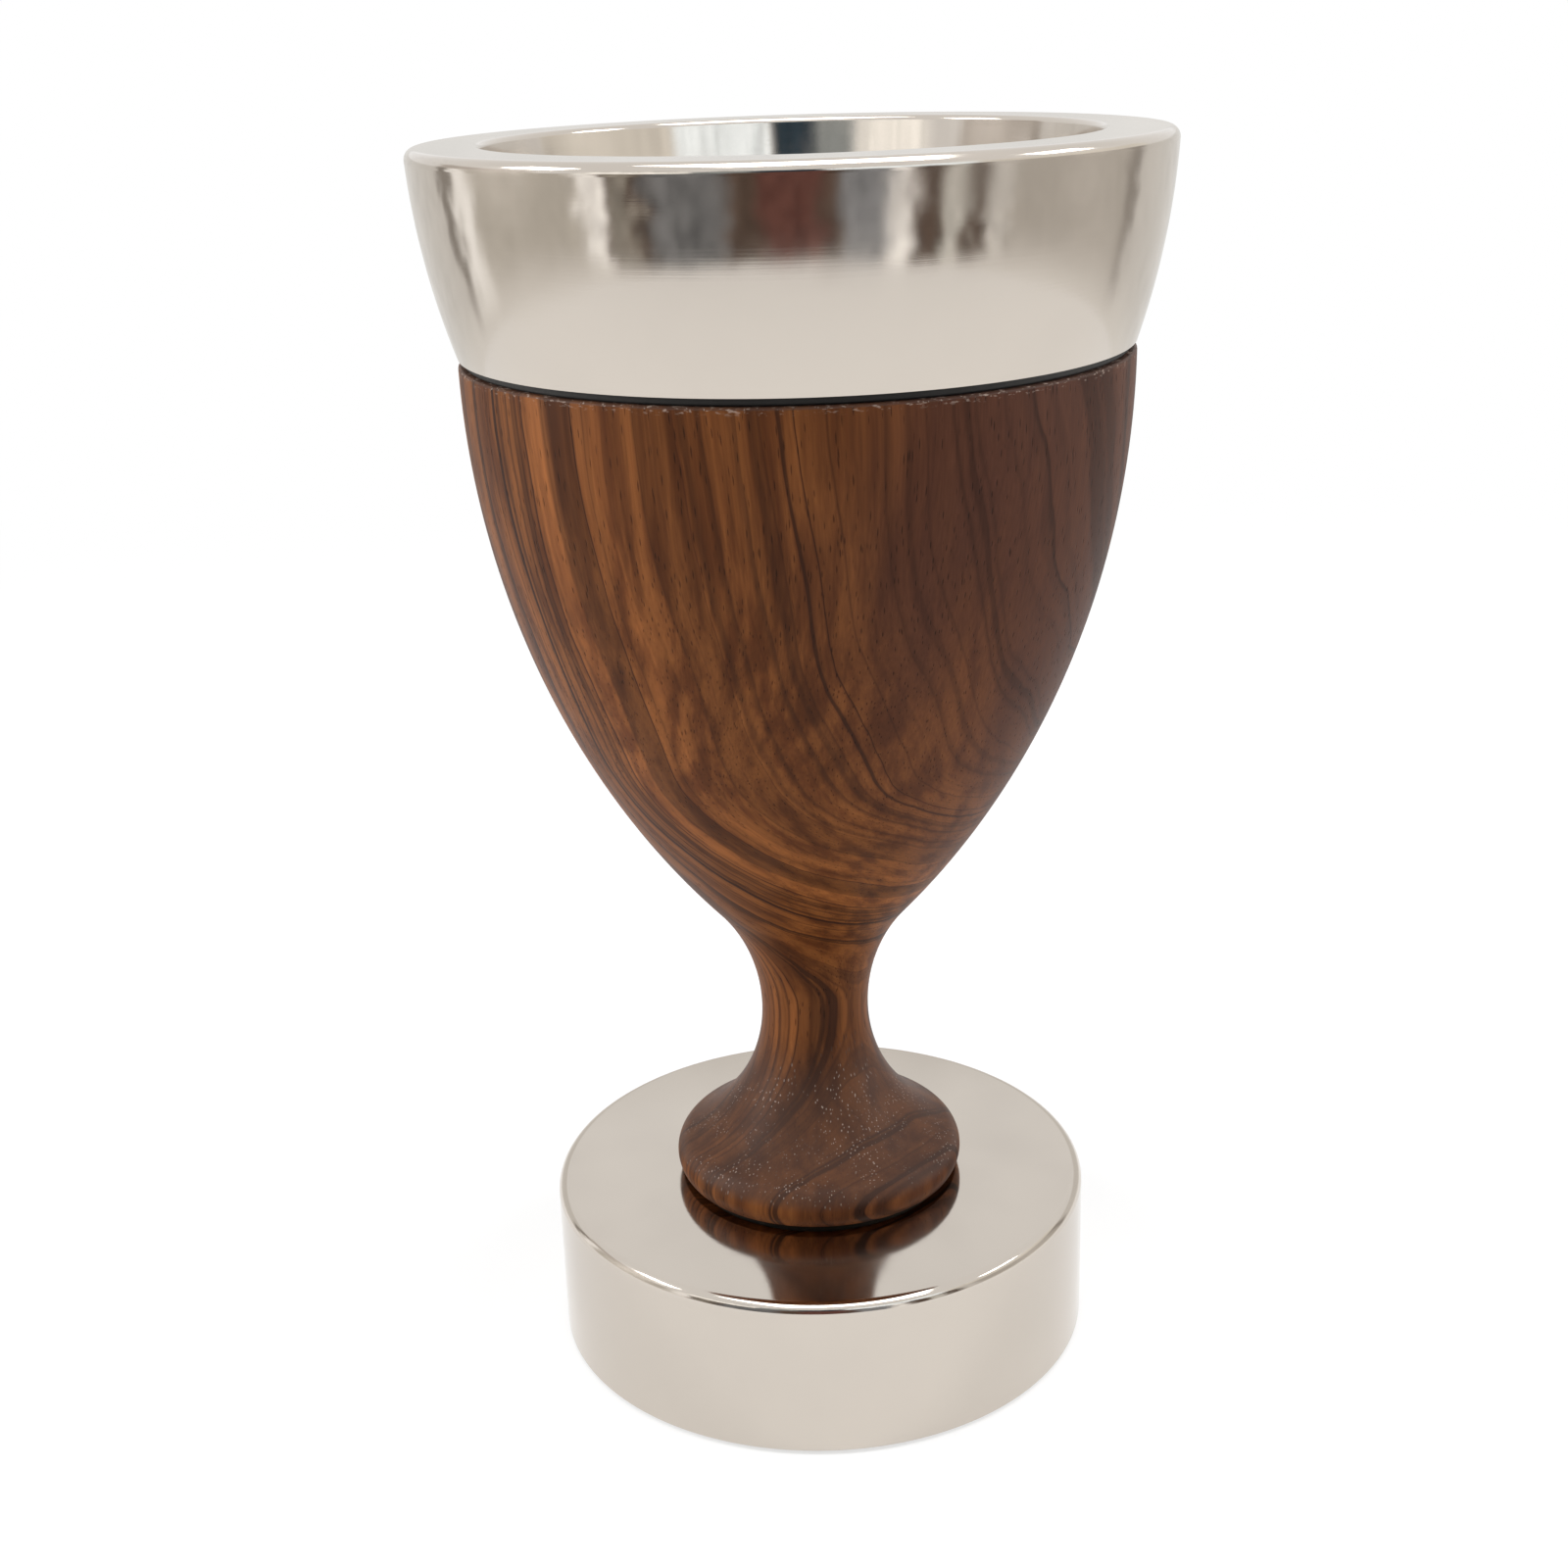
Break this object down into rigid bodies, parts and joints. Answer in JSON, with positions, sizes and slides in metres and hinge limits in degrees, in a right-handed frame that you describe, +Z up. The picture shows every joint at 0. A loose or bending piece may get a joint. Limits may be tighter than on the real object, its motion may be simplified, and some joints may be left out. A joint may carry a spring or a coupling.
{
  "type": "communion chalice",
  "caption": "Footed drinking cup with a polished metal vessel that lifts out of a turned wooden bowl, stem and foot on a round weighted metal base.",
  "frame": {"origin": "centre of the felt pad's underside, where the chalice stands", "axes": "+Z up along the turning axis, from the base to the rim; +Y through one base plate screw"},
  "size_m": [0.1136, 0.1136, 0.2],
  "materials": {
    "polished_nickel": "mirror-polished nickel plate with fine turning marks",
    "walnut": "turned walnut, oiled to a satin sheen",
    "black_rubber": "matt",
    "brass": "machined",
    "steel": "bright zinc-plated",
    "cast_iron": "turned, oiled",
    "felt": "pressed felt"
  },
  "bodies": {
    "stand": {"walnut_body": "walnut", "base_shell": "polished_nickel", "felt_pad": "felt", "base_plate": "steel", "base_plate_screws": "steel", "ballast_disc": "cast_iron", "rod_washer": "steel", "spring_washer": "steel", "rod_nut": "steel", "tie_rod": "steel", "foot_washer": "black_rubber", "socket_bush": "brass"},
    "seat": {"seat_gasket": "black_rubber"},
    "cup": {"drinking_bowl": "polished_nickel", "collar_band": "polished_nickel", "seat_ring": "polished_nickel", "cup_spigot": "polished_nickel", "spigot_o_ring": "black_rubber"}
  },
  "joints": [
    {"name": "cup_turn", "type": "hinge", "parent": "stand", "child": "seat", "pos_m": [0, 0, 0], "axis": [0, 0, 1], "continuous": true},
    {"name": "cup_lift", "type": "slide", "parent": "seat", "child": "cup", "axis": [0, 0, 1], "range_m": [0, 0.08]}
  ]
}
